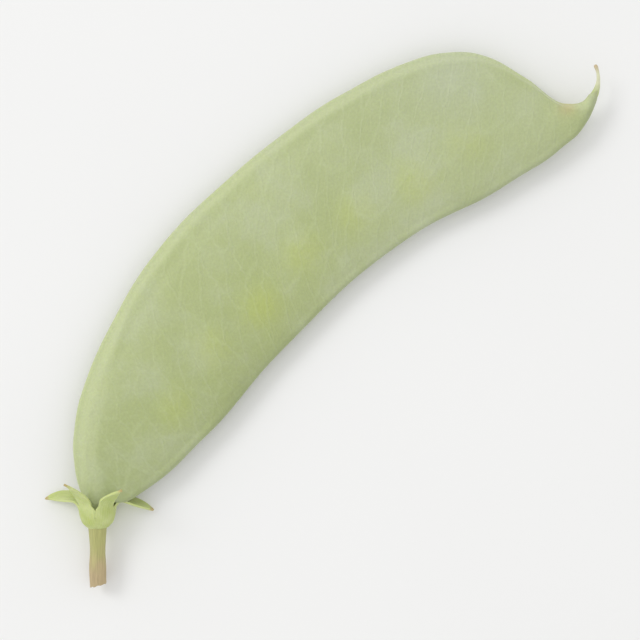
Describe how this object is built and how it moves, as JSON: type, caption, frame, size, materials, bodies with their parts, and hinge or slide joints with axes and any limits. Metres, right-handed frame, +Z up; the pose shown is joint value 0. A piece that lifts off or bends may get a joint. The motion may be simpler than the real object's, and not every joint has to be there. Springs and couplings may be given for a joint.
{
  "type": "snow pea pod",
  "caption": "Flat, slightly curved green pea pod lying on one side, with corded seams, a short hooked beak, a small leafy calyx and a cut stem.",
  "frame": {"origin": "middle of the floor of the bounding box, on the surface that the pod lies on", "axes": "+X along the pod's chord from stem to beak, +Y towards the curved back, +Z up through the pod's thickness"},
  "size_m": [0.103, 0.034, 0.01],
  "materials": {
    "pod_skin": "fresh pod skin, pale green under a thin wax bloom, fine net of veins",
    "calyx_leaf": "thin yellow-green leaf, matt, veined",
    "cut_stalk": "ribbed green stalk drying to tan at the cut end",
    "dried_style": "dry pale cream thread"
  },
  "bodies": {
    "root": {"pod": "pod_skin", "style": "dried_style", "calyx_cup": "calyx_leaf", "sepal_back": "calyx_leaf", "sepal_top_back": "calyx_leaf", "sepal_top_belly": "calyx_leaf", "sepal_belly": "calyx_leaf", "sepal_under": "calyx_leaf", "stem": "cut_stalk"}
  },
  "joints": []
}
